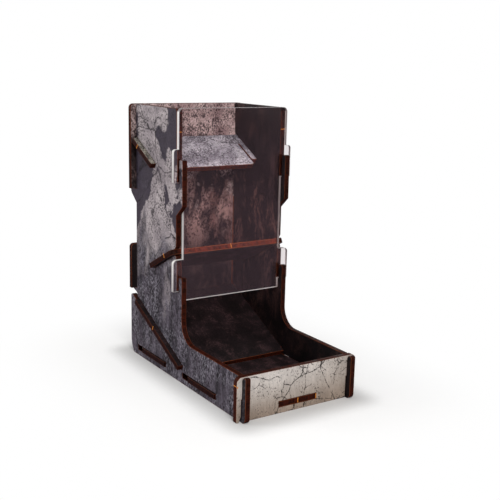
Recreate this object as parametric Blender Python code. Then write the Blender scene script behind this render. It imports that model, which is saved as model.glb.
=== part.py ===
"""Knock-down dice tower of nine flat panels that hook and slot together.

Eight panels are cut from printed hardboard and the window is clear acrylic, all of one thickness.
The two side panels carry everything: the back panel and the window hang on them by their ears,
the ramps and the floor pass through them on tabs, and the front wall halves into their hooks.
Lengths are in metres. X runs across the tower, +Y runs from the tray to the back, and +Z is up.
"""
import math

import bpy
from mathutils import Vector

# Sheet and fits
sheet = 0.0030
fit_gap = 0.00025

# Overall sizes, across, along and up
tower_width = 0.0732
tower_height = 0.1589
tray_height = 0.02515
tray_length = 0.06245
shaft_depth = 0.0516

# How far the panels reach past each other
ear_reach = 0.0032
back_ear_reach = 0.0035
ramp_tab_reach = 0.0030
floor_tab_reach = 0.0010

# Side panels: the hook in front of the wall and the corner between tray and shaft
hook_depth = 0.0035
hook_foot_radius = 0.0028
hook_top_radius = 0.0010
hook_lead_width = 0.0012
hook_lead_height = 0.0017
tray_corner_radius = 0.0120
tray_edge_radius = 0.0006
top_corner_radius = 0.0015

# Side panels: the fingers that hold the window, and the arms that carry them
front_finger_depth = 0.0036
front_upper_finger_height = 0.01335
front_lower_finger_height = 0.00895
front_upper_seat_share = 0.7392
front_lower_seat_share = 0.3408
finger_radius = 0.0010
arm_root_share = 0.6196
front_arm_rise = 0.0062
front_arm_radius = 0.0012

# Side panels: the fingers that hold the back panel, and the heel below them
rear_finger_depth = 0.00425
rear_upper_finger_height = 0.01335
rear_lower_finger_height = 0.00895
rear_upper_seat_share = 0.6743
rear_arm_rise = 0.0062
rear_arm_radius = 0.0040
rear_lower_arm_depth = 0.00295
rear_lower_arm_rise = 0.0027
rear_lower_arm_radius = 0.0014
heel_overhang = 0.0007
heel_height = 0.0090
heel_inset = 0.0039
heel_top_radius = 0.0016

# Mouths of the ramp slots, widened so that a ramp finds its way in
mouth_lead = 0.0013
lower_mouth_lead = 0.0016

# Window
window_skirt = 0.0058
window_lower_ear_height = 0.0187
window_upper_ear_height = 0.0188
window_ear_radius = 0.0024
window_top_radius = 0.0027
window_rise = 0.0003

# Back panel
back_lower_ear_height = 0.0284
back_ear_radius = 0.0022
back_top_radius = 0.0026

# Front wall
wall_halving_share = 0.5
wall_top_radius = 0.0033
wall_foot_radius = 0.0011
wall_lead_width = 0.0014
wall_lead_height = 0.0030

# Floor: its side tabs and their slots, as shares of the length from the front wall to the back
floor_height = 0.0037
floor_front_tab_width = 0.0250
floor_tab_start_shares = (0.1923, 0.6768)
floor_tab_length_share = 0.2476
floor_slot_slack_share = 0.0636
floor_tab_radius = 0.0004

# Ramps: where each one crosses the shaft, as shares of the height and of the shaft's depth
upper_ramp_angle = math.radians(28.3)
upper_ramp_height_share = 0.8770
upper_ramp_length_share = 0.592
upper_tab_share = 0.487
middle_ramp_angle = math.radians(26.9)
middle_ramp_height_share = 0.4999
middle_ramp_length_share = 0.648
middle_tab_share = 0.542
lower_ramp_angle = math.radians(24.9)
lower_ramp_lead = 0.00345
lower_tab_shares = (0.034, 0.949)
ramp_corner_radius = 0.0020
ramp_tab_radius = 0.0005
middle_tab_radius = 0.0028

# Spring slits that let the upper ramp's tabs give as they enter their slots
slit_width = 0.0010
slit_rib = 0.0030
slit_length_share = 0.62

arc_step = math.radians(9)

# Places along Y, counted from the front face of the front wall
wall_rear = sheet
hook_rear = -fit_gap
hook_front = hook_rear - hook_depth
tray_front = wall_rear + fit_gap
arm_front = wall_rear + tray_length
window_front = arm_front + front_finger_depth + fit_gap
window_rear = window_front + sheet
panel_front = window_rear + fit_gap
panel_rear = panel_front + shaft_depth
back_front = panel_rear + fit_gap
back_rear = back_front + sheet
rear_finger_front = back_rear + fit_gap
rear_finger_rear = rear_finger_front + rear_finger_depth
heel_rear = rear_finger_rear + heel_overhang
depth_centre = (hook_front + heel_rear) / 2

# Places along X, counted from the middle
outer_face = tower_width / 2
inner_face = outer_face - sheet
body_side = inner_face - fit_gap
ear_tip = outer_face + ear_reach
back_ear_tip = outer_face + back_ear_reach
ramp_tab_tip = outer_face + ramp_tab_reach
floor_tab_tip = outer_face + floor_tab_reach

# Places along Z, counted from the ground
floor_top = floor_height + sheet
front_upper_seat = tower_height * front_upper_seat_share
front_lower_seat = tower_height * front_lower_seat_share
rear_upper_seat = tower_height * rear_upper_seat_share
arm_root = tower_height * arm_root_share
wall_halving = tray_height * wall_halving_share


class Ramp:
    """A sloping sheet: its top face passes through a place on Y and Z and climbs to the rear."""

    def __init__(self, place, height, angle):
        self.place = place
        self.height = height
        self.angle = angle
        self.along = Vector((math.cos(angle), math.sin(angle)))
        self.down = Vector((math.sin(angle), -math.cos(angle)))

    def point(self, run, below):
        """Y and Z of the point a run along the top face and a depth below it."""
        return Vector((self.place, self.height)) + self.along * run + self.down * below

    def run_to(self, place, below):
        """Run at which the line a depth below the top face reaches a place on Y."""
        return (place - self.place - self.down.x * below) / self.along.x

    def level(self, place, below):
        """Height at a place on Y of the line a depth below the top face."""
        return self.point(self.run_to(place, below), below).y

    def slot_end(self, run):
        """The two corners of a closed slot end, lower one first."""
        lower = self.point(run, sheet + fit_gap)
        upper = self.point(run, -fit_gap)
        return lower, upper


def lower_ramp_place():
    """Lower ramp, set so that the low corner of its foot stands just clear of the floor."""
    foot = Vector((arm_front - lower_ramp_lead, floor_top + fit_gap))
    down = Vector((math.sin(lower_ramp_angle), -math.cos(lower_ramp_angle)))
    top = foot - down * sheet
    return Ramp(top.x, top.y, lower_ramp_angle)


upper_ramp = Ramp(panel_rear, tower_height * upper_ramp_height_share, upper_ramp_angle)
middle_ramp = Ramp(panel_front, tower_height * middle_ramp_height_share, -middle_ramp_angle)
lower_ramp = lower_ramp_place()

# Runs along each ramp's top face, from its place: both ends, then the ends of its tabs
upper_rear_run = upper_ramp.run_to(panel_rear, sheet)
upper_front_run = upper_ramp.run_to(panel_rear - shaft_depth * upper_ramp_length_share, 0)
upper_tab_front = upper_ramp.run_to(panel_rear - shaft_depth * upper_tab_share, sheet / 2)
middle_front_run = middle_ramp.run_to(panel_front, sheet)
middle_rear_run = middle_ramp.run_to(panel_front + shaft_depth * middle_ramp_length_share, 0)
middle_tab_rear = middle_ramp.run_to(panel_front + shaft_depth * middle_tab_share, sheet / 2)
lower_front_run = 0
lower_rear_run = lower_ramp.run_to(panel_rear, sheet)
lower_length = lower_rear_run - lower_front_run
lower_tab_front = lower_length * (1 - lower_tab_shares[1])
lower_tab_rear = lower_length * (1 - lower_tab_shares[0])

# Heights that follow the lower ramp
rear_mouth_top = lower_ramp.level(panel_rear, -fit_gap) + lower_mouth_lead
rear_lower_seat = rear_mouth_top + rear_lower_arm_depth
back_bottom = lower_ramp.level(panel_rear, sheet)

# Floor tabs, as front and rear ends along Y, and the room behind each one in its slot
floor_reach = panel_rear - wall_rear
floor_tabs = [
    (wall_rear + floor_reach * share, wall_rear + floor_reach * (share + floor_tab_length_share))
    for share in floor_tab_start_shares
]
floor_slot_slack = floor_reach * floor_slot_slack_share


def arc(centre, radius, start, end):
    """Points along an arc from one angle to another, both ends included."""
    steps = max(2, math.ceil(abs(end - start) / arc_step))
    angles = [start + (end - start) * step / steps for step in range(steps + 1)]
    return [Vector((centre.x + radius * math.cos(a), centre.y + radius * math.sin(a))) for a in angles]


def rounded(corners):
    """Outline through corners given as across, up and radius, each corner turned into an arc."""
    outline = []
    for index, (across, up, radius) in enumerate(corners):
        corner = Vector((across, up))
        back = Vector(corners[index - 1][:2]) - corner
        ahead = Vector(corners[(index + 1) % len(corners)][:2]) - corner
        if radius == 0:
            outline.append(corner)
            continue
        half_angle = back.angle(ahead) / 2
        reach = min(radius / math.tan(half_angle), back.length / 2, ahead.length / 2)
        bend = reach * math.tan(half_angle)
        middle = (back.normalized() + ahead.normalized()).normalized()
        centre = corner + middle * bend / math.sin(half_angle)
        first = corner + back.normalized() * reach - centre
        last = corner + ahead.normalized() * reach - centre
        start = math.atan2(first.y, first.x)
        turn = math.atan2(first.cross(last), first.dot(last))
        outline += arc(centre, bend, start, start + turn)
    return outline


def square(point):
    """A corner that stays sharp."""
    return (point[0], point[1], 0)


def both_sides(half):
    """Whole outline from its right half, listed upwards from the middle of the bottom edge."""
    left = [(-across, up, radius) for across, up, radius in reversed(half)]
    return rounded(half + left)


def rectangle(left, right, low, high):
    """Outline of a rectangle."""
    return [Vector((left, low)), Vector((right, low)), Vector((right, high)), Vector((left, high))]


def panel(name, outlines, location, rotation, colour, roughness, alpha=1):
    """A flat sheet cut to its outlines, the first one outside and the others its slots."""
    curve = bpy.data.curves.new(name, "CURVE")
    curve.dimensions = "2D"
    curve.fill_mode = "BOTH"
    curve.extrude = sheet / 2
    for outline in outlines:
        spline = curve.splines.new("POLY")
        spline.points.add(len(outline) - 1)
        for point, place in zip(spline.points, outline):
            point.co = (place.x, place.y, 0, 1)
        spline.use_cyclic_u = True
    piece = bpy.data.objects.new(name, curve)
    tower.objects.link(piece)
    piece.parent = origin
    piece.location = location
    piece.rotation_euler = rotation
    material = bpy.data.materials.new(name)
    material.use_nodes = True
    shader = material.node_tree.nodes["Principled BSDF"]
    shader.inputs["Base Color"].default_value = (*colour, 1)
    shader.inputs["Metallic"].default_value = 0
    shader.inputs["Roughness"].default_value = roughness
    shader.inputs["Alpha"].default_value = alpha
    curve.materials.append(material)
    return piece


def heel():
    """Lower rear corner of a side panel: an arc that meets the ground at an angle."""
    radius = (heel_inset ** 2 + heel_height ** 2) / (2 * heel_inset)
    centre = Vector((heel_rear - radius, heel_height))
    start = -math.asin(heel_height / radius)
    return [square(point) for point in arc(centre, radius, start, 0)]


def rear_edge():
    """Corners of a side panel's rear edge, upwards from the heel."""
    lower_end = lower_ramp.slot_end(lower_tab_front - fit_gap)
    upper_end = upper_ramp.slot_end(upper_tab_front - fit_gap)
    below = sheet + fit_gap
    lead_start = panel_rear - mouth_lead
    lower_lead_start = panel_rear - lower_mouth_lead
    return [
        (heel_rear, lower_ramp.level(heel_rear, below), heel_top_radius),
        square(lower_end[0]),
        square(lower_end[1]),
        (lower_lead_start, lower_ramp.level(lower_lead_start, -fit_gap), 0),
        (panel_rear, rear_mouth_top, 0),
        (rear_finger_rear, rear_mouth_top + rear_lower_arm_rise, rear_lower_arm_radius),
        (rear_finger_rear, rear_lower_seat + rear_lower_finger_height, finger_radius),
        (rear_finger_front, rear_lower_seat + rear_lower_finger_height, finger_radius),
        (rear_finger_front, rear_lower_seat, 0),
        (panel_rear, rear_lower_seat, 0),
        (panel_rear, arm_root, 0),
        (rear_finger_rear, arm_root + rear_arm_rise, rear_arm_radius),
        (rear_finger_rear, rear_upper_seat + rear_upper_finger_height, finger_radius),
        (rear_finger_front, rear_upper_seat + rear_upper_finger_height, finger_radius),
        (rear_finger_front, rear_upper_seat, 0),
        (panel_rear, rear_upper_seat, 0),
        (panel_rear, upper_ramp.level(panel_rear, below) - mouth_lead, 0),
        (lead_start, upper_ramp.level(lead_start, below), 0),
        square(upper_end[0]),
        square(upper_end[1]),
        (lead_start, upper_ramp.level(lead_start, -fit_gap), 0),
        (panel_rear, upper_ramp.level(panel_rear, -fit_gap) + mouth_lead, 0),
    ]


def front_edge():
    """Corners of a side panel's front edge, downwards from the top, and then along the tray."""
    middle_end = middle_ramp.slot_end(middle_tab_rear + fit_gap)
    below = sheet + fit_gap
    lead_end = panel_front + mouth_lead
    return [
        (panel_front, front_upper_seat, 0),
        (window_front - fit_gap, front_upper_seat, 0),
        (window_front - fit_gap, front_upper_seat + front_upper_finger_height, finger_radius),
        (arm_front, front_upper_seat + front_upper_finger_height, finger_radius),
        (arm_front, arm_root + front_arm_rise, front_arm_radius),
        (panel_front, arm_root, 0),
        (panel_front, middle_ramp.level(panel_front, -fit_gap) + mouth_lead, 0),
        (lead_end, middle_ramp.level(lead_end, -fit_gap), 0),
        square(middle_end[1]),
        square(middle_end[0]),
        (lead_end, middle_ramp.level(lead_end, below), 0),
        (panel_front, middle_ramp.level(panel_front, below) - mouth_lead, 0),
        (panel_front, front_lower_seat, 0),
        (window_front - fit_gap, front_lower_seat, 0),
        (window_front - fit_gap, front_lower_seat + front_lower_finger_height, finger_radius),
        (arm_front, front_lower_seat + front_lower_finger_height, finger_radius),
        (arm_front, tray_height, tray_corner_radius),
        (tray_front, tray_height, tray_edge_radius),
        (tray_front, wall_halving, 0),
        (hook_rear, wall_halving, 0),
        (hook_rear, tray_height - hook_lead_height, 0),
        (hook_rear - hook_lead_width, tray_height, 0),
        (hook_front, tray_height, hook_top_radius),
    ]


def side_outlines():
    """A side panel: the long outline with its open slots, and the floor's two closed slots."""
    corners = [(hook_front, 0, hook_foot_radius)]
    corners += heel()
    corners += rear_edge()
    corners += [
        (panel_rear, tower_height, top_corner_radius),
        (panel_front, tower_height, top_corner_radius),
    ]
    corners += front_edge()
    outlines = [rounded(corners)]
    for start, end in floor_tabs:
        outlines.append(rectangle(
            start - fit_gap, end + floor_slot_slack,
            floor_height - fit_gap, floor_top + fit_gap,
        ))
    return outlines


def side_panel(name, side):
    """One side panel, upright along the tower, on the side given as -1 or 1."""
    middle = side * (outer_face - sheet / 2)
    return panel(name, side_outlines(), (middle, 0, 0), upright_along, stone_grey, hardboard_roughness)


def window():
    """Clear front window: ears in the side panels' front slots, and a shoulder over their edges."""
    lower_ear = front_lower_seat + fit_gap
    upper_ear = front_upper_seat + fit_gap
    shoulder = upper_ear + window_upper_ear_height
    half = [
        (body_side, lower_ear - window_skirt, 0),
        (body_side, lower_ear, 0),
        (ear_tip, lower_ear, 0),
        (ear_tip, lower_ear + window_lower_ear_height, window_ear_radius),
        (body_side, lower_ear + window_lower_ear_height, 0),
        (body_side, upper_ear, 0),
        (ear_tip, upper_ear, 0),
        (ear_tip, shoulder, window_ear_radius),
        (outer_face, shoulder, 0),
        (outer_face, tower_height + window_rise, window_top_radius),
    ]
    place = (0, (window_front + window_rear) / 2, 0)
    return panel(
        "front_window", [both_sides(half)], place, upright_across,
        clear_acrylic, acrylic_roughness, acrylic_alpha,
    )


def back_panel():
    """Back panel: short lower ears and long upper ears in the side panels' rear slots."""
    lower_ear = rear_lower_seat + fit_gap
    upper_ear = rear_upper_seat + fit_gap
    half = [
        (body_side, back_bottom, 0),
        (body_side, lower_ear, 0),
        (back_ear_tip, lower_ear, 0),
        (back_ear_tip, lower_ear + back_lower_ear_height, back_ear_radius),
        (body_side, lower_ear + back_lower_ear_height, 0),
        (body_side, upper_ear, 0),
        (back_ear_tip, upper_ear, 0),
        (back_ear_tip, tower_height, back_top_radius),
    ]
    place = (0, (back_front + back_rear) / 2, 0)
    return panel("back_panel", [both_sides(half)], place, upright_across, stone_brown, hardboard_roughness)


def front_wall():
    """Front wall: halved down over the side panels, with a slot for the floor's front tab."""
    slot_outer = outer_face + fit_gap
    slot_top = wall_halving + fit_gap
    half = [
        (body_side, 0, 0),
        (body_side, slot_top, 0),
        (slot_outer, slot_top, 0),
        (slot_outer, wall_lead_height, 0),
        (slot_outer + wall_lead_width, 0, 0),
        (ear_tip, 0, wall_foot_radius),
        (ear_tip, tray_height, wall_top_radius),
    ]
    tab_half = floor_front_tab_width / 2 + fit_gap
    slot = rectangle(-tab_half, tab_half, floor_height - fit_gap, floor_top + fit_gap)
    place = (0, sheet / 2, 0)
    outlines = [both_sides(half), slot]
    return panel("front_wall", outlines, place, upright_across, stone_cream, hardboard_roughness)


def floor_panel():
    """Floor: one tab through the front wall and two through each side panel, free to slide back."""
    tab_half = floor_front_tab_width / 2
    half = [
        (tab_half, 0, 0),
        (tab_half, tray_front, 0),
        (body_side, tray_front, 0),
    ]
    for start, end in floor_tabs:
        half += [
            (body_side, start, 0),
            (floor_tab_tip, start, floor_tab_radius),
            (floor_tab_tip, end, floor_tab_radius),
            (body_side, end, 0),
        ]
    half.append((body_side, panel_rear, floor_tab_radius))
    place = (0, 0, floor_height + sheet / 2)
    return panel("floor_panel", [both_sides(half)], place, (0, 0, 0), stone_dark, hardboard_roughness)


def ramp_panel(name, ramp, half, colour):
    """A ramp from the right half of its outline, listed along the slope from front to rear."""
    middle = ramp.point(0, sheet / 2)
    place = (0, middle.x, middle.y)
    turn = (ramp.angle, 0, 0)
    return panel(name, [both_sides(half)], place, turn, colour, hardboard_roughness)


def upper_ramp_panel():
    """Upper ramp: falls to the front, and its tabs spring on a slit cut beside each one."""
    slit_outer = body_side - slit_rib
    slit_inner = slit_outer - slit_width
    slit_end = upper_tab_front + (upper_rear_run - upper_tab_front) * slit_length_share
    half = [
        (slit_inner, upper_front_run, ramp_corner_radius),
        (slit_inner, slit_end, 0),
        (slit_outer, slit_end, 0),
        (slit_outer, upper_tab_front, ramp_tab_radius),
        (ramp_tab_tip, upper_tab_front, ramp_tab_radius),
        (ramp_tab_tip, upper_rear_run, ramp_tab_radius),
    ]
    return ramp_panel("upper_ramp", upper_ramp, half, stone_light)


def middle_ramp_panel():
    """Middle ramp: falls to the rear, its tabs running to the front edge with a round corner."""
    half = [
        (ramp_tab_tip, middle_front_run, middle_tab_radius),
        (ramp_tab_tip, middle_tab_rear, ramp_tab_radius),
        (body_side, middle_tab_rear, 0),
        (body_side, middle_rear_run, ramp_corner_radius),
    ]
    return ramp_panel("middle_ramp", middle_ramp, half, stone_brown)


def lower_ramp_panel():
    """Lower ramp: falls to the front, down to the floor of the tray."""
    half = [
        (body_side, lower_front_run, 0),
        (body_side, lower_tab_front, 0),
        (ramp_tab_tip, lower_tab_front, ramp_tab_radius),
        (ramp_tab_tip, lower_tab_rear, ramp_tab_radius),
        (body_side, lower_tab_rear, 0),
        (body_side, lower_rear_run, 0),
    ]
    return ramp_panel("lower_ramp", lower_ramp, half, stone_dark)


# Printed faces and acrylic, as linear colours
stone_grey = (0.20, 0.18, 0.19)
stone_cream = (0.52, 0.45, 0.41)
stone_brown = (0.24, 0.17, 0.15)
stone_light = (0.40, 0.38, 0.42)
stone_dark = (0.06, 0.05, 0.06)
clear_acrylic = (0.80, 0.80, 0.80)
hardboard_roughness = 0.6
acrylic_roughness = 0.08
acrylic_alpha = 0.3

# Turns that stand a flat outline upright, along the tower or across it
quarter = math.radians(90)
upright_along = (quarter, 0, quarter)
upright_across = (quarter, 0, 0)

for leftover in list(bpy.data.objects):
    bpy.data.objects.remove(leftover, do_unlink=True)

tower = bpy.data.collections.new("dice_tower")
bpy.context.scene.collection.children.link(tower)
origin = bpy.data.objects.new("tower_origin", None)
origin.location = (0, -depth_centre, 0)
tower.objects.link(origin)

side_panel("left_side_panel", -1)
side_panel("right_side_panel", 1)
back_panel()
window()
upper_ramp_panel()
middle_ramp_panel()
lower_ramp_panel()
floor_panel()
front_wall()
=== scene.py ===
"""Looks of a knock-down dice tower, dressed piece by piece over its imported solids.

Eight sheets are hardboard, printed on both faces as weathered stone and cut by a laser, which
leaves brown burnt edges. The window is clear acrylic with bright cut edges.
Lengths are in metres, and patterns on a sheet are in millimetres.
"""
import math

import bmesh
import bpy
from mathutils import Euler, Matrix, Vector


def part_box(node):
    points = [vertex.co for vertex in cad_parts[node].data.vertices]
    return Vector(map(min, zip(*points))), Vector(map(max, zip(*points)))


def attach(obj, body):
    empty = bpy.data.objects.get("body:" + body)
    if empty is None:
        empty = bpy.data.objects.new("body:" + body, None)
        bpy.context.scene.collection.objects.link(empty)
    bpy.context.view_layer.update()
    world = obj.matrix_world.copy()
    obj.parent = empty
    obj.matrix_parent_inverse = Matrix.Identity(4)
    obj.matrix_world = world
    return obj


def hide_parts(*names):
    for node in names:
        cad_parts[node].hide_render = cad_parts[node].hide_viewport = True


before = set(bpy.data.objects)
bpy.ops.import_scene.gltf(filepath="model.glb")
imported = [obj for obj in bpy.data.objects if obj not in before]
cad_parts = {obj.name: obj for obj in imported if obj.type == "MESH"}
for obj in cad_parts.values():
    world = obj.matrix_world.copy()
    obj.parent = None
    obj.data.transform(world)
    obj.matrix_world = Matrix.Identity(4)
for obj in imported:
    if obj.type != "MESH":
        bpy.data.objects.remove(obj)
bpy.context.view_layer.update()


# Side panels
# Two L-shaped sheets of printed hardboard stand along the tower and carry every other sheet.
# Outside they are pale stone that turns dark and streaky low down, and inside they are dark.
sheet = 0.003
side_middle = 0.0351
upright_along = (math.pi / 2, 0, math.pi / 2)
merge_distance = 0.000004
scorch_width = 0.00035
bevel_width = 0.00009
level_turn, sharp_turn = math.radians(2), math.radians(35)


def paint(red, green, blue):
    """Linear colour of a shade written on the usual scale of 0 to 255."""
    return tuple(
        (c / 255 / 12.92 if c <= 10 else ((c / 255 + 0.055) / 1.055) ** 2.4)
        for c in (red, green, blue)
    ) + (1,)


def node(tree, kind, inputs, **settings):
    """A shader node, its inputs given as values or as the outputs of other nodes."""
    made = tree.nodes.new("ShaderNode" + kind)
    for name, value in settings.items():
        setattr(made, name, value)
    for socket, value in inputs.items():
        if isinstance(value, bpy.types.NodeSocket):
            tree.links.new(value, made.inputs[socket])
        else:
            made.inputs[socket].default_value = value
    return made


def noise(tree, place, size, detail, roughness, seed, warp=0):
    """Cloudy pattern around one half, with blobs about size across."""
    inputs = {
        "Vector": place, "W": seed, "Scale": 1 / size, "Detail": detail,
        "Roughness": roughness, "Distortion": warp,
    }
    return node(tree, "TexNoise", inputs, noise_dimensions="4D").outputs[0]


def spread(tree, value, start, end, low=0, high=1):
    """Value eased from low at start to high at end, and held outside them."""
    inputs = {0: value, 1: start, 2: end, 3: low, 4: high}
    return node(tree, "MapRange", inputs, interpolation_type="SMOOTHSTEP").outputs[0]


def sums(tree, operation, first, second=0):
    """One step of arithmetic."""
    return node(tree, "Math", {0: first, 1: second}, operation=operation).outputs[0]


def times(tree, first, second):
    """One value times another."""
    return sums(tree, "MULTIPLY", first, second)


def mix(tree, share, first, second):
    """Colour that goes from first to second by a share."""
    return node(tree, "Mix", {0: share, 6: first, 7: second}, data_type="RGBA").outputs[2]


def brighten(tree, colour, factor):
    """Colour times a factor."""
    start = colour if isinstance(colour, bpy.types.NodeSocket) else colour[:3]
    return node(tree, "VectorMath", {0: start, "Scale": factor}, operation="SCALE").outputs[0]


def tinted(tree, colour, factors):
    """Colour times a factor for each of red, green and blue."""
    return node(tree, "VectorMath", {0: colour, 1: factors}, operation="MULTIPLY").outputs[0]


def sum_places(tree, first, second):
    """One place moved by another."""
    return node(tree, "VectorMath", {0: first, 1: second}, operation="ADD").outputs[0]


def stretch(tree, place, across, up, through=1):
    """Place drawn out, so that patterns get longer along an axis by its number."""
    inputs = {0: place, 1: (1 / across, 1 / up, 1 / through)}
    return node(tree, "VectorMath", inputs, operation="MULTIPLY").outputs[0]


def sheet_place(tree, middle, turn):
    """Place on a sheet in millimetres: across, up, and outwards from its middle plane."""
    place = node(tree, "TexCoord", {}).outputs["Object"]
    inputs = {"Vector": place, "Location": middle, "Rotation": turn, "Scale": (0.001,) * 3}
    return node(tree, "Mapping", inputs, vector_type="TEXTURE").outputs[0]


def cracks(tree, place, size, width, seed, broken=0.5, wander=0.5):
    """Thin wandering lines, 1 on a crack, that come and go."""
    inputs = {"Vector": place, "W": seed, "Scale": 3 / size, "Detail": 5}
    bend = node(tree, "TexNoise", inputs, noise_dimensions="4D").outputs["Color"]
    moved = sum_places(tree, place, brighten(tree, bend, size * wander))
    moved = sum_places(tree, moved, (seed * size, 0, 0))
    inputs = {"Vector": moved, "Scale": 1 / size}
    cells = node(tree, "TexVoronoi", inputs, feature="DISTANCE_TO_EDGE").outputs[0]
    reach = width / size
    ragged = noise(tree, place, width * 3, 3, 0.7, seed + 2)
    cells = sums(tree, "ADD", cells, spread(tree, ragged, 0.3, 0.7, -0.6 * reach, 0.7 * reach))
    line = spread(tree, cells, reach * 0.4, reach, 1, 0)
    gaps = noise(tree, place, size * 0.45, 3, 0.6, seed + 5)
    return times(tree, line, spread(tree, gaps, broken - 0.03, broken + 0.04))


def specks(tree, place, size, share, seed, drawn=1.3):
    """Small ragged specks, 1 on a speck, crowded in some parts and few in others."""
    crowd = spread(tree, noise(tree, place, size * 12, 4, 0.6, seed + 1), 0.38, 0.62, -0.05, 0.05)
    grains = noise(tree, stretch(tree, place, 1, drawn), size, 3, 0.65, seed)
    level = 0.62 - share * 0.35
    return spread(tree, sums(tree, "ADD", grains, crowd), level, level + 0.06)


def stone(
    tree, place, tones, seed, grain=1.0, pitted=0.2, crack_size=24, crack_width=0.32, broken=0.5,
):
    """Printed stone between two tones, with pits and cracks in a third: its colour and height."""
    clouds = spread(tree, noise(tree, place, 14, 6, 0.62, seed), 0.36, 0.64)
    colour = mix(tree, clouds, tones[0], tones[1])
    mottle = noise(tree, place, 1.5, 5, 0.75, seed + 1)
    worn = spread(tree, mottle, 0.3, 0.7, 1 - 0.34 * grain, 1 + 0.3 * grain)
    colour = brighten(tree, colour, worn)
    pits = specks(tree, place, 0.85, pitted, seed + 3)
    lines = cracks(tree, place, crack_size, crack_width, seed + 6, broken)
    dark = sums(tree, "MAXIMUM", times(tree, pits, 0.8), times(tree, lines, 0.9))
    height = sums(tree, "SUBTRACT", times(tree, mottle, 0.5), times(tree, dark, 0.8))
    return mix(tree, dark, colour, tones[2]), height


def printed_board(name, middle, turn, outward_print, inward_print):
    """Printed hardboard: one design on each face, browned along every cut."""
    material = bpy.data.materials.new(name)
    material.use_nodes = True
    tree = material.node_tree
    place = sheet_place(tree, middle, turn)
    depth = node(tree, "SeparateXYZ", {0: place}).outputs[2]
    outward = sums(tree, "GREATER_THAN", depth, 0)
    inside_colour, inside_height = inward_print(tree, place)
    outside_colour, outside_height = outward_print(tree, place)
    colour = mix(tree, outward, inside_colour, outside_colour)
    height = node(tree, "Mix", {0: outward, 2: inside_height, 3: outside_height}).outputs[0]
    rim = node(tree, "Attribute", {}, attribute_name="scorch").outputs["Fac"]
    ragged = noise(tree, place, 0.5, 3, 0.6, 3)
    rim = sums(tree, "ADD", rim, spread(tree, ragged, 0.3, 0.7, -0.45, 0.3))
    scorched = paint(66, 34, 22)
    colour = mix(tree, spread(tree, rim, 0.35, 1.0), colour, scorched)
    shader = tree.nodes["Principled BSDF"]
    tree.links.new(colour, shader.inputs["Base Color"])
    gloss = spread(tree, noise(tree, place, 0.8, 3, 0.6, 8), 0.3, 0.7, 0.46, 0.62)
    tree.links.new(gloss, shader.inputs["Roughness"])
    shader.inputs["Specular IOR Level"].default_value = 0.15
    bump = node(tree, "Bump", {"Height": height, "Strength": 0.35, "Distance": 0.0001})
    tree.links.new(bump.outputs[0], shader.inputs["Normal"])
    return material


def burnt_edge(name, middle, turn, inner_painted_light=1, tab_light=1, slot_painted_shade=1, top_painted_shade=1):
    """Cut edge of the board, charred by the laser in fine lines.

    It carries painted light or painted shade near the sheet's middle and painted shade in floor
    slots and on top, and it can be darker on tabs.
    """
    inner_end, tab_start, top = (33, 34), (36, 38), (156, 158)
    slot_end, slot_foot, slot_head = (61, 62), (1, 2), (8, 10)
    black_char, brown_char, lip_highlight = paint(18, 6, 3), paint(66, 24, 13), paint(150, 82, 46)
    material = bpy.data.materials.new(name)
    material.use_nodes = True
    tree = material.node_tree
    place = sheet_place(tree, middle, turn)
    across, up, depth = node(tree, "SeparateXYZ", {0: place}).outputs
    lines = noise(tree, stretch(tree, place, 1, 1, 14), 0.28, 2, 0.6, 1)
    patches = noise(tree, stretch(tree, place, 1, 1, 1.6), 2.4, 4, 0.6, 2)
    char = sums(tree, "ADD", times(tree, lines, 0.45), times(tree, patches, 0.55))
    colour = mix(tree, spread(tree, char, 0.36, 0.64), black_char, brown_char)
    # Painted highlight: a lighter brown lip runs along each rim of the cut, where the edge meets a
    # face.
    lip_highlight_share = spread(tree, sums(tree, "ABSOLUTE", depth), 1.24, 1.44)
    lip_highlight_share = times(tree, lip_highlight_share, spread(tree, patches, 0.35, 0.65, 0.7, 0.15))
    colour = mix(tree, lip_highlight_share, colour, lip_highlight)
    # Painted light and shade: the factors below brighten or darken the edge near the sheet's
    # middle and darken it in floor slots and on top; tabs can be darker too.
    outward = sums(tree, "ABSOLUTE", across)
    light = spread(tree, outward, *inner_end, inner_painted_light, 1)
    light = times(tree, light, spread(tree, outward, *tab_start, 1, tab_light))
    in_slot = times(tree, spread(tree, outward, *slot_end, 1, 0), spread(tree, up, *slot_foot))
    in_slot = times(tree, in_slot, spread(tree, up, *slot_head, 1, 0))
    light = times(tree, light, spread(tree, in_slot, 0, 1, 1, slot_painted_shade))
    light = times(tree, light, spread(tree, up, *top, 1, top_painted_shade))
    colour = brighten(tree, colour, light)
    shader = tree.nodes["Principled BSDF"]
    tree.links.new(colour, shader.inputs["Base Color"])
    tree.links.new(spread(tree, patches, 0.35, 0.65, 0.42, 0.68), shader.inputs["Roughness"])
    shader.inputs["Specular IOR Level"].default_value = 0.05
    bump = node(tree, "Bump", {"Height": char, "Strength": 0.5, "Distance": 0.00015})
    tree.links.new(bump.outputs[0], shader.inputs["Normal"])
    return material


def finished(form, name, body, slot, *finishes):
    """The piece made of a form, which rides on a body."""
    mesh = bpy.data.meshes.new(name)
    form.to_mesh(mesh)
    form.free()
    for finish in finishes:
        mesh.materials.append(finish)
    piece = bpy.data.objects.new(name, mesh)
    bpy.context.scene.collection.objects.link(piece)
    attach(piece, body)
    return piece


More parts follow.
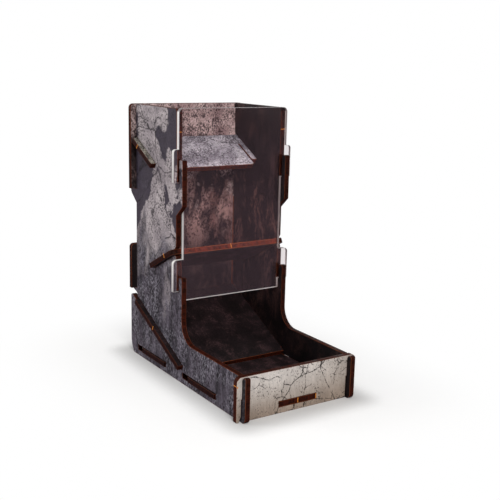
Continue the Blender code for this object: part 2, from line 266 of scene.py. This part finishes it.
def cut_sheet(name, stands_for, turn, body, slot, face_finish, edge_finish):
    """A sheet with its solid's outline, its cut edges bevelled and a scorched rim on each face."""
    form = bmesh.new()
    form.from_mesh(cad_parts[stands_for].data)
    bmesh.ops.remove_doubles(form, verts=form.verts, dist=merge_distance)
    bmesh.ops.dissolve_limit(form, angle_limit=level_turn, verts=form.verts, edges=form.edges)
    outward = Euler(turn).to_matrix() @ Vector((0, 0, 1))
    faces = [face for face in form.faces if abs(face.normal.dot(outward)) > 0.99]
    bmesh.ops.inset_region(
        form, faces=faces, thickness=scorch_width, use_boundary=True, use_even_offset=True,
    )
    rims = [
        edge for edge in form.edges
        if len({abs(face.normal.dot(outward)) > 0.99 for face in edge.link_faces}) == 2
    ]
    bmesh.ops.bevel(
        form, geom=rims, offset=bevel_width, offset_type="OFFSET", segments=2, profile=0.5,
        affect="EDGES", material=-1, clamp_overlap=False,
    )
    scorch = form.verts.layers.float.new("scorch")
    for face in form.faces:
        flat = abs(face.normal.dot(outward)) > 0.999
        face.material_index = 0 if flat else 1
        if not flat:
            for vert in face.verts:
                vert[scorch] = 1
    piece = finished(form, name, body, slot, face_finish, edge_finish)
    piece.data.shade_smooth()
    piece.data.set_sharp_from_angle(angle=sharp_turn)
    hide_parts(stands_for)


def side_outside(seed):
    """Outside of a side panel: pale stone with dark stains above, and dark grainy stone below."""
    black, violet = paint(26, 22, 26), paint(46, 40, 52)
    tones = (paint(138, 129, 133), paint(178, 168, 170), black)
    streak_dark, streak_light = paint(26, 24, 30), paint(82, 76, 86)
    hair_pale, grit_black = paint(168, 164, 175), paint(12, 11, 15)
    pale_from, front_end = (50, 94), (-64, -60)

    def design(tree, place):
        pale, height = stone(tree, place, tones, seed, pitted=0.24)
        along, up = node(tree, "SeparateXYZ", {0: place}).outputs[0:2]
        stain = noise(tree, stretch(tree, place, 1, 1.2), 42, 7, 0.52, seed + 20, 0.25)
        stain = spread(tree, stain, 0.53, 0.545)
        worn = spread(tree, noise(tree, place, 2.5, 4, 0.7, seed + 21), 0.3, 0.7, 0.7, 1.3)
        pale = mix(tree, times(tree, stain, 0.96), pale, brighten(tree, violet, worn))
        longer = cracks(tree, place, 40, 0.55, seed + 27, broken=0.42, wander=0.3)
        pale = mix(tree, times(tree, longer, 0.85), pale, black)
        streaks = noise(tree, stretch(tree, place, 1, 7), 5, 4, 0.6, seed + 22)
        low = mix(tree, spread(tree, streaks, 0.36, 0.62), streak_dark, streak_light)
        hairs = noise(tree, stretch(tree, place, 1, 2.2), 0.8, 3, 0.7, seed + 23)
        hairs = spread(tree, hairs, 0.46, 0.6)
        patches = noise(tree, stretch(tree, place, 1, 1.6), 13, 5, 0.65, seed + 25)
        patches = spread(tree, patches, 0.38, 0.62, 0.04, 0.62)
        low = mix(tree, times(tree, hairs, patches), low, hair_pale)
        grit = specks(tree, place, 1, 0.28, seed + 26, drawn=1.8)
        low = mix(tree, times(tree, grit, 0.8), low, grit_black)
        low = brighten(tree, low, spread(tree, along, *front_end, 0.4, 1))
        drift = noise(tree, stretch(tree, place, 1, 2), 18, 5, 0.6, seed + 24)
        level = sums(tree, "ADD", up, spread(tree, drift, 0.3, 0.7, -30, 30))
        return mix(tree, spread(tree, level, *pale_from), low, pale), height

    return design


def side_inside(seed):
    """Inside of a side panel: near-black violet brown with dusty pink mottling, and painted shade
    towards the bottom.
    """
    tones = (paint(20, 14, 17), paint(34, 25, 28), paint(6, 4, 5))
    dusty_pink = paint(146, 104, 98)
    dusty_below, dusty_from, lit_from = (98, 120), (44, 76), (24, 46)

    def design(tree, place):
        colour, height = stone(tree, place, tones, seed, 0.9, crack_size=30, crack_width=0.3)
        dust = noise(tree, stretch(tree, place, 1, 2.2), 10, 7, 0.75, seed + 20, 0.4)
        pits = specks(tree, place, 1.1, 0.3, seed + 30)
        dust = sums(tree, "SUBTRACT", dust, times(tree, pits, 0.06))
        up = node(tree, "SeparateXYZ", {0: place}).outputs[1]
        share = spread(tree, dust, 0.47, 0.64, 0, 0.7)
        share = times(tree, share, spread(tree, up, *dusty_below, 1, 0.2))
        share = times(tree, share, spread(tree, up, *dusty_from, 0.3, 1))
        colour = mix(tree, share, colour, dusty_pink)
        # Painted shade: the inside is darker towards the bottom, below lit_from.
        return brighten(tree, colour, spread(tree, up, *lit_from, 0.5, 1)), height

    return design


left_middle, right_middle = (-side_middle, 0, 0), (side_middle, 0, 0)
cut_sheet(
    "left_side_sheet", "left_side_panel", upright_along, "carcass", "printed_board_grey",
    printed_board(
        "left_side_print", left_middle, upright_along, side_inside(11), side_outside(38),
    ),
    # Painted shade: the left cut edge is darker in the floor slots.
    burnt_edge("left_side_cut", left_middle, upright_along, slot_painted_shade=0.35),
)
cut_sheet(
    "right_side_sheet", "right_side_panel", upright_along, "carcass", "printed_board_grey",
    printed_board(
        "right_side_print", right_middle, upright_along, side_outside(31), side_inside(43),
    ),
    burnt_edge(
        "right_side_cut", right_middle, upright_along,
        # Painted shade: the right cut edge is darker along the middle of the panel's length behind
        # the window's ears, in the floor slots and along the top.
        inner_painted_light=0.7, slot_painted_shade=0.35, top_painted_shade=0.2,
    ),
)


# Back panel
# A sheet of printed hardboard hangs by its four ears in the side panels' rear slots.
# Its inside is pinkish stone at the top, full of dark pits, and dark and stained lower down.
upright_across = (math.pi / 2, 0, 0)
back_middle = (0, 0.061475, 0)


def back_inside(tree, place):
    """Inside of the back panel: pinkish above a ragged level, and darker on the ears."""
    tones = (paint(158, 130, 130), paint(230, 202, 198), paint(22, 12, 15))
    bloom_pink, ear_brown = paint(190, 150, 144), paint(18, 13, 14)
    pink_from, bloom_from, ear_start = (112, 128), (58, 90), (35.6, 36.6)
    top, height = stone(tree, place, tones, 52, 1.3, 0.34, crack_size=26, crack_width=0.4)
    # Its lower part takes the side panels' inside print, with that print's painted shade towards
    # the bottom.
    low = side_inside(57)(tree, place)[0]
    mottle = specks(tree, place, 1.2, 0.3, 61)
    bloom = noise(tree, stretch(tree, place, 1, 2.2), 15, 8, 0.72, 62, 0.6)
    bloom = spread(tree, bloom, 0.46, 0.61)
    bloom = times(tree, bloom, spread(tree, mottle, 0, 1, 0.95, 0.2))
    across, up = node(tree, "SeparateXYZ", {0: place}).outputs[0:2]
    bloom = times(tree, bloom, spread(tree, up, *bloom_from, 0.08, 1))
    low = mix(tree, bloom, low, bloom_pink)
    drift = noise(tree, place, 16, 4, 0.6, 60)
    level = sums(tree, "ADD", up, spread(tree, drift, 0.3, 0.7, -26, 26))
    colour = mix(tree, spread(tree, level, *pink_from), low, top)
    ear = spread(tree, sums(tree, "ABSOLUTE", across), *ear_start)
    ear = times(tree, ear, spread(tree, level, 130, 156, 0.94, 0.5))
    return mix(tree, ear, colour, ear_brown), height


cut_sheet(
    "back_sheet", "back_panel", upright_across, "back", "printed_board_brown",
    printed_board("back_print", back_middle, upright_across, back_inside, side_outside(67)),
    burnt_edge("back_cut", back_middle, upright_across),
)


# Seat lines
# The back panel bears on the side panels' rear edges, and the floor fills the height of its slots.
# The solids stand a hair apart there, so thin strips of the same burnt board keep the light out.
back_seat = ((0.03315, 0.059575, 0.0365), (0.0346, 0.05996, 0.09844))
slot_seat = ((0.03337, -0.0085, 0.0060), (0.03358, -0.0002, 0.00693))


def seat_line(name, body, slot, side, low, high, tilt=0):
    """A thin strip in a seam, tilted about its middle. Side is -1 for left and 1 for right."""
    form = bmesh.new()
    bmesh.ops.create_cube(form, size=1)
    bmesh.ops.scale(form, verts=form.verts, vec=Vector(high) - Vector(low))
    bmesh.ops.bevel(
        form, geom=form.edges, offset=0.00002, offset_type="OFFSET", segments=2, profile=0.5,
        affect="EDGES", material=-1,
    )
    bmesh.ops.rotate(form, verts=form.verts, cent=(0, 0, 0), matrix=Matrix.Rotation(tilt, 3, "X"))
    centre = (Vector(high) + Vector(low)) / 2
    bmesh.ops.translate(form, verts=form.verts, vec=(side * centre.x, centre.y, centre.z))
    finish = burnt_edge(name + "_cut", (side * side_middle, 0, 0), upright_along)
    finished(form, name, body, slot, finish)


for word, side in (("left", -1), ("right", 1)):
    seat_line(word + "_back_seat", "carcass", "printed_board_grey", side, *back_seat)
    seat_line(word + "_slot_seat", "tray_floor", "printed_board_dark", side, *slot_seat)


# Ramps
# Three sheets of printed hardboard slope to the front, the rear and the front, held by tabs.
# The upper one is pale blue-grey stone, and the others are dark.
fall = {"upper": math.radians(28.3), "middle": math.radians(-26.9), "lower": math.radians(24.9)}
ramp_tab_light = 0.5


def ramp(which, slot, above, below, inner_painted_light):
    """One ramp, its print and cut edge measured from the middle of its solid."""
    name = which + "_ramp"
    low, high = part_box(name)
    middle = tuple((low + high) / 2)
    turn = (fall[which], 0, 0)
    edge_finish = burnt_edge(name + "_cut", middle, turn, inner_painted_light, ramp_tab_light)
    face_finish = printed_board(name + "_print", middle, turn, above, below)
    cut_sheet(name + "_sheet", name, turn, "carcass", slot, face_finish, edge_finish)


def pale_stone(tree, place):
    """Pale blue-grey stone with soft veins."""
    tones = (paint(152, 148, 158), paint(226, 222, 230), paint(36, 32, 40))
    vein_grey, tab_factors, tab_start = paint(84, 80, 94), (0.46, 0.44, 0.34), (33, 36)
    colour, height = stone(tree, place, tones, 71, 1.2, 0.3, 15, 0.4, broken=0.46)
    veins = cracks(tree, place, 9, 0.9, 77, broken=0.46)
    colour = mix(tree, times(tree, veins, 0.4), colour, vein_grey)
    across = node(tree, "SeparateXYZ", {0: place}).outputs[0]
    tab = spread(tree, sums(tree, "ABSOLUTE", across), *tab_start)
    return mix(tree, tab, colour, tinted(tree, colour, tab_factors)), height


def dark_stone(seed, warmth=0.5):
    """Dark stone, mottled with a share of dusty brown."""
    tones = (paint(12, 8, 9), paint(25, 18, 20), paint(5, 3, 4))
    dusty_brown = paint(116, 86, 88)

    def design(tree, place):
        colour, height = stone(tree, place, tones, seed, 0.9, crack_size=26, crack_width=0.3)
        dust = noise(tree, place, 8, 6, 0.72, seed + 20, 0.4)
        flecks = specks(tree, place, 0.9, 0.3, seed + 24)
        share = spread(tree, dust, 0.46, 0.64, 0.05, warmth)
        share = times(tree, share, spread(tree, flecks, 0, 1, 0.3, 1))
        return mix(tree, share, colour, dusty_brown), height

    return design


# Painted light: the ramps' cut edges are brighter inside the tower than on their tabs, most of all
# on the middle ramp.
ramp("upper", "printed_board_light", pale_stone, dark_stone(80), inner_painted_light=2)
ramp("middle", "printed_board_brown", dark_stone(90), dark_stone(95), inner_painted_light=3.2)
ramp("lower", "printed_board_dark", dark_stone(100, 0.3), dark_stone(105), inner_painted_light=1.4)

# A thin strip above each of the lower ramp's tabs closes its slot to the light.
ramp_gap = 0.00025
ramp_seat_size = Vector((0.0006, 0.0048, 0.00024))
ramp_seat_centre = Vector((0.03392, 0.0571, 0))
low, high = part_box("lower_ramp")
uphill = (ramp_seat_centre.y - (low.y + high.y) / 2) * math.tan(fall["lower"])
above_middle = (sheet + ramp_gap) / 2 / math.cos(fall["lower"])
ramp_seat_centre.z = (low.z + high.z) / 2 + uphill + above_middle
ramp_seat = (ramp_seat_centre - ramp_seat_size / 2, ramp_seat_centre + ramp_seat_size / 2)
for word, side in (("left", -1), ("right", 1)):
    seat_line(
        word + "_ramp_seat", "carcass", "printed_board_dark", side, *ramp_seat, fall["lower"],
    )


# Floor
# A flat sheet of printed hardboard, with a tab through the front wall and two through each side.
# Its top is dark stone with dusty brown mottling.
lying = (0, 0, 0)
floor_middle = (0, 0, 0.0052)
cut_sheet(
    "floor_sheet", "floor_panel", lying, "tray_floor", "printed_board_dark",
    printed_board("floor_print", floor_middle, lying, dark_stone(110), dark_stone(115)),
    burnt_edge("floor_cut", floor_middle, lying, tab_light=0.32),
)


# Front wall
# A low strip of printed hardboard, halved down over the side panels' hooks.
# Its front is cream stone with long hairline cracks, and painted shade makes it a little darker
# towards the ground.
wall_middle = (0, -0.062925, 0)


def cream_stone(tree, place):
    """Cream stone with long hairline cracks, with painted shade to the right, towards the ground
    and at its far left end.
    """
    tones = (paint(202, 194, 188), paint(220, 212, 206), paint(70, 62, 60))
    crack_brown, dim_factors = paint(40, 34, 34), (0.46, 0.39, 0.33)
    cracked_to, lit_from, dim_from, dim_to = (34, 37), (0, 24), (-12, 40), (-38, -35)
    colour, height = stone(tree, place, tones, 121, 0.16, 0.02, 60, 0.2, broken=0.6)
    hairs = cracks(tree, place, 28, 0.36, 126, broken=0.42, wander=0.16)
    fine = cracks(tree, place, 15, 0.26, 129, wander=0.3)
    chips = times(tree, specks(tree, place, 0.8, 0.07, 135, drawn=1.4), 0.85)
    hairs = sums(tree, "MAXIMUM", sums(tree, "MAXIMUM", hairs, fine), chips)
    across, up = node(tree, "SeparateXYZ", {0: place}).outputs[0:2]
    outward = sums(tree, "ABSOLUTE", across)
    hairs = times(tree, hairs, spread(tree, outward, *cracked_to, 1, 0.15))
    brushed = noise(tree, stretch(tree, place, 1, 5), 1.4, 4, 0.7, 133)
    colour = brighten(tree, colour, spread(tree, brushed, 0.3, 0.7, 0.88, 1.08))
    colour = mix(tree, times(tree, hairs, 0.92), colour, crack_brown)
    # Painted shade: the front gets darker and warmer to the right, towards the ground and at its
    # far left end.
    bright = times(tree, spread(tree, up, *lit_from), spread(tree, across, *dim_from, 1, 0.54))
    bright = times(tree, bright, spread(tree, across, *dim_to, 0.76, 1))
    colour = mix(tree, bright, tinted(tree, colour, dim_factors), colour)
    return colour, sums(tree, "SUBTRACT", height, times(tree, hairs, 0.6))


cut_sheet(
    "front_wall_sheet", "front_wall", upright_across, "carcass", "printed_board_cream",
    printed_board("front_wall_print", wall_middle, upright_across, cream_stone, dark_stone(130)),
    burnt_edge("front_wall_cut", wall_middle, upright_across),
)


# Window
# A sheet of clear acrylic hangs by its four ears in the side panels' front slots.
# Its faces are polished. Its frosted cut edges are white along their middle and dull beside it,
# and painted shade dims them at the right end and along the top.
window_middle = (0, 0.006375, 0)
acrylic_bend = 1.49
dull_by_faces = paint(104, 94, 100)
right_edge_shade = paint(160, 146, 145)
top_edge_shade = paint(120, 108, 110)
face_in, face_out, right_start, top_start = (-1.3, -0.8), (0.85, 1.25), (30, 33), (157, 158)

clear = bpy.data.materials.new("clear_acrylic_face")
clear.use_nodes = True
tree = clear.node_tree
place = sheet_place(tree, window_middle, upright_across)
shader = tree.nodes["Principled BSDF"]
shader.inputs["Transmission Weight"].default_value = 1
shader.inputs["IOR"].default_value = acrylic_bend
shader.inputs["Specular IOR Level"].default_value = 0.22
tint = mix(tree, noise(tree, place, 30, 2, 0.5, 4), paint(228, 222, 222), paint(238, 233, 233))
tree.links.new(tint, shader.inputs["Base Color"])
scratches = noise(tree, stretch(tree, place, 6, 1), 0.8, 4, 0.7, 5)
tree.links.new(spread(tree, scratches, 0.68, 0.8, 0, 0.03), shader.inputs["Roughness"])
shadow = node(tree, "LightPath", {}).outputs["Is Shadow Ray"]
passed = node(tree, "BsdfTransparent", {"Color": paint(242, 241, 241)})
lets_light = node(tree, "MixShader", {0: shadow, 1: shader.outputs[0], 2: passed.outputs[0]})
tree.links.new(lets_light.outputs[0], tree.nodes["Material Output"].inputs["Surface"])

frosted = bpy.data.materials.new("clear_acrylic_cut")
frosted.use_nodes = True
tree = frosted.node_tree
place = sheet_place(tree, window_middle, upright_across)
shader = tree.nodes["Principled BSDF"]
shader.inputs["Transmission Weight"].default_value = 0.1
shader.inputs["IOR"].default_value = acrylic_bend
lines = noise(tree, stretch(tree, place, 1, 1, 14), 0.3, 2, 0.6, 6)
edge_colour = mix(tree, lines, paint(232, 227, 223), paint(252, 250, 247))
across, up, depth = node(tree, "SeparateXYZ", {0: place}).outputs
core = times(tree, spread(tree, depth, *face_in), spread(tree, depth, *face_out, 1, 0))
edge_colour = mix(tree, core, dull_by_faces, edge_colour)
# Painted shade: the cut edges at the right end and along the top are dimmed.
edge_colour = mix(tree, spread(tree, across, *right_start), edge_colour, right_edge_shade)
edge_colour = mix(tree, spread(tree, up, *top_start), edge_colour, top_edge_shade)
tree.links.new(edge_colour, shader.inputs["Base Color"])
tree.links.new(spread(tree, lines, 0.3, 0.7, 0.25, 0.45), shader.inputs["Roughness"])
bump = node(tree, "Bump", {"Height": lines, "Strength": 0.3, "Distance": 0.0001})
tree.links.new(bump.outputs[0], shader.inputs["Normal"])

cut_sheet(
    "window_sheet", "front_window", upright_across, "window", "clear_acrylic", clear, frosted,
)


# Holding bridges
# The laser leaves small bridges that hold each sheet in its board until it is snapped out.
# Their pale orange stubs show on the cut edges of most sheets, one or two on each.
raw_fibre = bpy.data.materials.new("raw_fibre")
raw_fibre.use_nodes = True
tree = raw_fibre.node_tree
place = node(tree, "TexCoord", {}).outputs["Object"]
fibres = noise(tree, place, 0.0003, 3, 0.7, 7)
shader = tree.nodes["Principled BSDF"]
fibre_dark, fibre_light = paint(176, 96, 30), paint(222, 148, 66)
fibres = mix(tree, spread(tree, fibres, 0.3, 0.7), fibre_dark, fibre_light)
tree.links.new(fibres, shader.inputs["Base Color"])
shader.inputs["Roughness"].default_value = 0.8
shader.inputs["Specular IOR Level"].default_value = 0.2
stub_length = 0.0005
stub_rise = 0.0001
unturned = (0, 0, 0)


def bridge_stub(name, body, slot, place, turn, size):
    """A broken bridge: a thin block across the edge, its size given along its own axes."""
    form = bmesh.new()
    bmesh.ops.create_cube(form, size=1)
    bmesh.ops.scale(form, verts=form.verts, vec=size)
    bmesh.ops.bevel(
        form, geom=form.edges, offset=min(size) * 0.3, offset_type="OFFSET", segments=2,
        profile=0.5, affect="EDGES", material=-1,
    )
    bmesh.ops.rotate(form, verts=form.verts, cent=(0, 0, 0), matrix=Euler(turn).to_matrix())
    bmesh.ops.translate(form, verts=form.verts, vec=place)
    finished(form, name, body, slot, raw_fibre)


stub_reach = sheet * 0.94
front_stub = (stub_reach, stub_rise * 2, stub_length)
end_stub = (stub_rise * 2, stub_length, stub_reach)
lip_stub = (stub_length, stub_rise * 2, stub_reach)
wall_front = -0.064425
for name, x in (("left_side_stub", -side_middle), ("right_side_stub", side_middle)):
    bridge_stub(
        name, "carcass", "printed_board_grey", (x, 0.008125, 0.1460), unturned, front_stub,
    )
for name, slot, y, z in (
    ("upper", "printed_board_light", 0.052375, 0.1338),
    ("middle", "printed_board_brown", 0.017625, 0.0737),
    ("lower", "printed_board_dark", 0.031975, 0.0255),
):
    bridge_stub(
        name + "_ramp_stub", "carcass", slot, (-0.0396, y, z), (fall[name], 0, 0), end_stub,
    )
bridge_stub(
    "middle_ramp_front_stub", "carcass", "printed_board_brown",
    (0.0003, 0.008775, 0.07775), (fall["middle"], 0, 0), lip_stub,
)
bridge_stub(
    "front_wall_chip", "carcass", "printed_board_cream",
    (-0.0392, wall_front, 0.0199), unturned, (0.0006, stub_rise * 2, 0.001),
)
bridge_stub(
    "front_wall_stub", "carcass", "printed_board_cream",
    (-0.0398, wall_middle[1], 0.0204), unturned, (stub_rise * 2, stub_reach, stub_length),
)
for name, x in (("floor_middle_stub", 0.00012), ("floor_right_stub", 0.0125)):
    place = (x, wall_front, floor_middle[2])
    bridge_stub(name, "tray_floor", "printed_board_dark", place, unturned, lip_stub)


# Studio
# A pale ground fades to a soft white room, with a lamp above in front and a low one behind.
# The room is dimmer as a light than to the eye, and gloss mirrors a dusky ground in the window.
ground_colour, mirrored_ground = paint(226, 225, 224), paint(182, 153, 166)
ground_glow = 0.36
room_light = 0.4
ground_size = 6
tower_half = (0.0366, 0.0680, 1)
glow_reach = 0.02
fade_reach = 0.09

form = bmesh.new()
bmesh.ops.create_grid(form, x_segments=1, y_segments=1, size=ground_size / 2)
mesh = bpy.data.meshes.new("ground")
form.to_mesh(mesh)
form.free()
ground = bpy.data.objects.new("ground", mesh)
bpy.context.scene.collection.objects.link(ground)
pale = bpy.data.materials.new("pale_ground")
pale.use_nodes = True
tree = pale.node_tree
tree.nodes.remove(tree.nodes["Principled BSDF"])
rays = node(tree, "LightPath", {})
place = node(tree, "TexCoord", {}).outputs["Object"]
mirrored = sums(tree, "MINIMUM", rays.outputs["Glossy Depth"], 1)
seen = sums(tree, "MAXIMUM", rays.outputs["Is Camera Ray"], rays.outputs["Is Transmission Ray"])
seen = sums(tree, "MAXIMUM", sums(tree, "SUBTRACT", seen, mirrored), 0)
matt = node(tree, "BsdfDiffuse", {"Color": ground_colour})
beyond = node(tree, "VectorMath", {0: place}, operation="ABSOLUTE").outputs[0]
beyond = node(tree, "VectorMath", {0: beyond, 1: tower_half}, operation="SUBTRACT").outputs[0]
beyond = node(tree, "VectorMath", {0: beyond, 1: (0, 0, 0)}, operation="MAXIMUM").outputs[0]
away = node(tree, "VectorMath", {0: beyond}, operation="LENGTH").outputs["Value"]
# Painted shade: the glow is held back under and near the tower, so the ground stays darker there
# than further out.
glow = spread(tree, away, 0, glow_reach, 0, ground_glow)
glow = node(tree, "Emission", {"Color": (1, 1, 1, 1), "Strength": glow})
lit = node(tree, "AddShader", {0: matt.outputs[0], 1: glow.outputs[0]})
white = node(tree, "Emission", {"Color": (1, 1, 1, 1), "Strength": 1.0})
faded = spread(tree, away, 0, fade_reach)
faded = node(tree, "MixShader", {0: faded, 1: lit.outputs[0], 2: white.outputs[0]})
dusky = node(tree, "BsdfDiffuse", {"Color": mirrored_ground})
dim = node(tree, "MixShader", {0: mirrored, 1: matt.outputs[0], 2: dusky.outputs[0]})
both = node(tree, "MixShader", {0: seen, 1: dim.outputs[0], 2: faded.outputs[0]})
tree.links.new(both.outputs[0], tree.nodes["Material Output"].inputs["Surface"])
mesh.materials.append(pale)

world = bpy.data.worlds.new("soft_room")
bpy.context.scene.world = world
world.use_nodes = True
tree = world.node_tree
rays = node(tree, "LightPath", {})
seen = sums(tree, "MAXIMUM", rays.outputs["Is Camera Ray"], rays.outputs["Is Glossy Ray"])
seen = sums(tree, "MAXIMUM", seen, rays.outputs["Is Transmission Ray"])
strength = node(tree, "Mix", {0: seen, 2: room_light, 3: 1.0}).outputs[0]
tree.nodes["Background"].inputs["Color"].default_value = (1, 1, 1, 1)
tree.links.new(strength, tree.nodes["Background"].inputs["Strength"])


def soft_lamp(name, place, aim, size, power):
    """A large square lamp that faces a point."""
    light = bpy.data.lights.new(name, "AREA")
    light.shape = "SQUARE"
    light.size = size
    light.energy = power
    lamp = bpy.data.objects.new(name, light)
    lamp.location = place
    lamp.rotation_euler = (Vector(aim) - Vector(place)).to_track_quat("-Z", "Y").to_euler()
    bpy.context.scene.collection.objects.link(lamp)


tower_heart = (0, 0, 0.06)
soft_lamp("front_lamp", (-0.35, -0.95, 0.8), tower_heart, size=0.5, power=9)
soft_lamp("rear_lamp", (-0.95, 0.55, 0.3), tower_heart, size=0.4, power=4)


# Camera
# It looks slightly down on the tower from the left front, a little above the tower's top.
# Its place, turn and lens were fitted to the tower's straight edges in the photograph.
camera_place = Vector((-0.26617, -0.417695, 0.18635))
camera_yaw, camera_pitch, camera_roll = (math.radians(angle) for angle in (33.37, 12.49, 1.34))
lens = bpy.data.cameras.new("camera")
lens.sensor_width = 36
lens.lens = 61.86
camera = bpy.data.objects.new("camera", lens)
bpy.context.scene.collection.objects.link(camera)
bpy.context.scene.camera = camera
forward = Vector((
    math.sin(camera_yaw) * math.cos(camera_pitch),
    math.cos(camera_yaw) * math.cos(camera_pitch),
    -math.sin(camera_pitch),
))
level = Vector((math.cos(camera_yaw), -math.sin(camera_yaw), 0))
upward = level.cross(forward)
turned = level * math.cos(camera_roll) + upward * math.sin(camera_roll)
risen = upward * math.cos(camera_roll) - level * math.sin(camera_roll)
axes = Matrix((turned, risen, -forward)).transposed().to_4x4()
camera.matrix_world = Matrix.Translation(camera_place) @ axes

bpy.context.scene.view_settings.view_transform = "Standard"
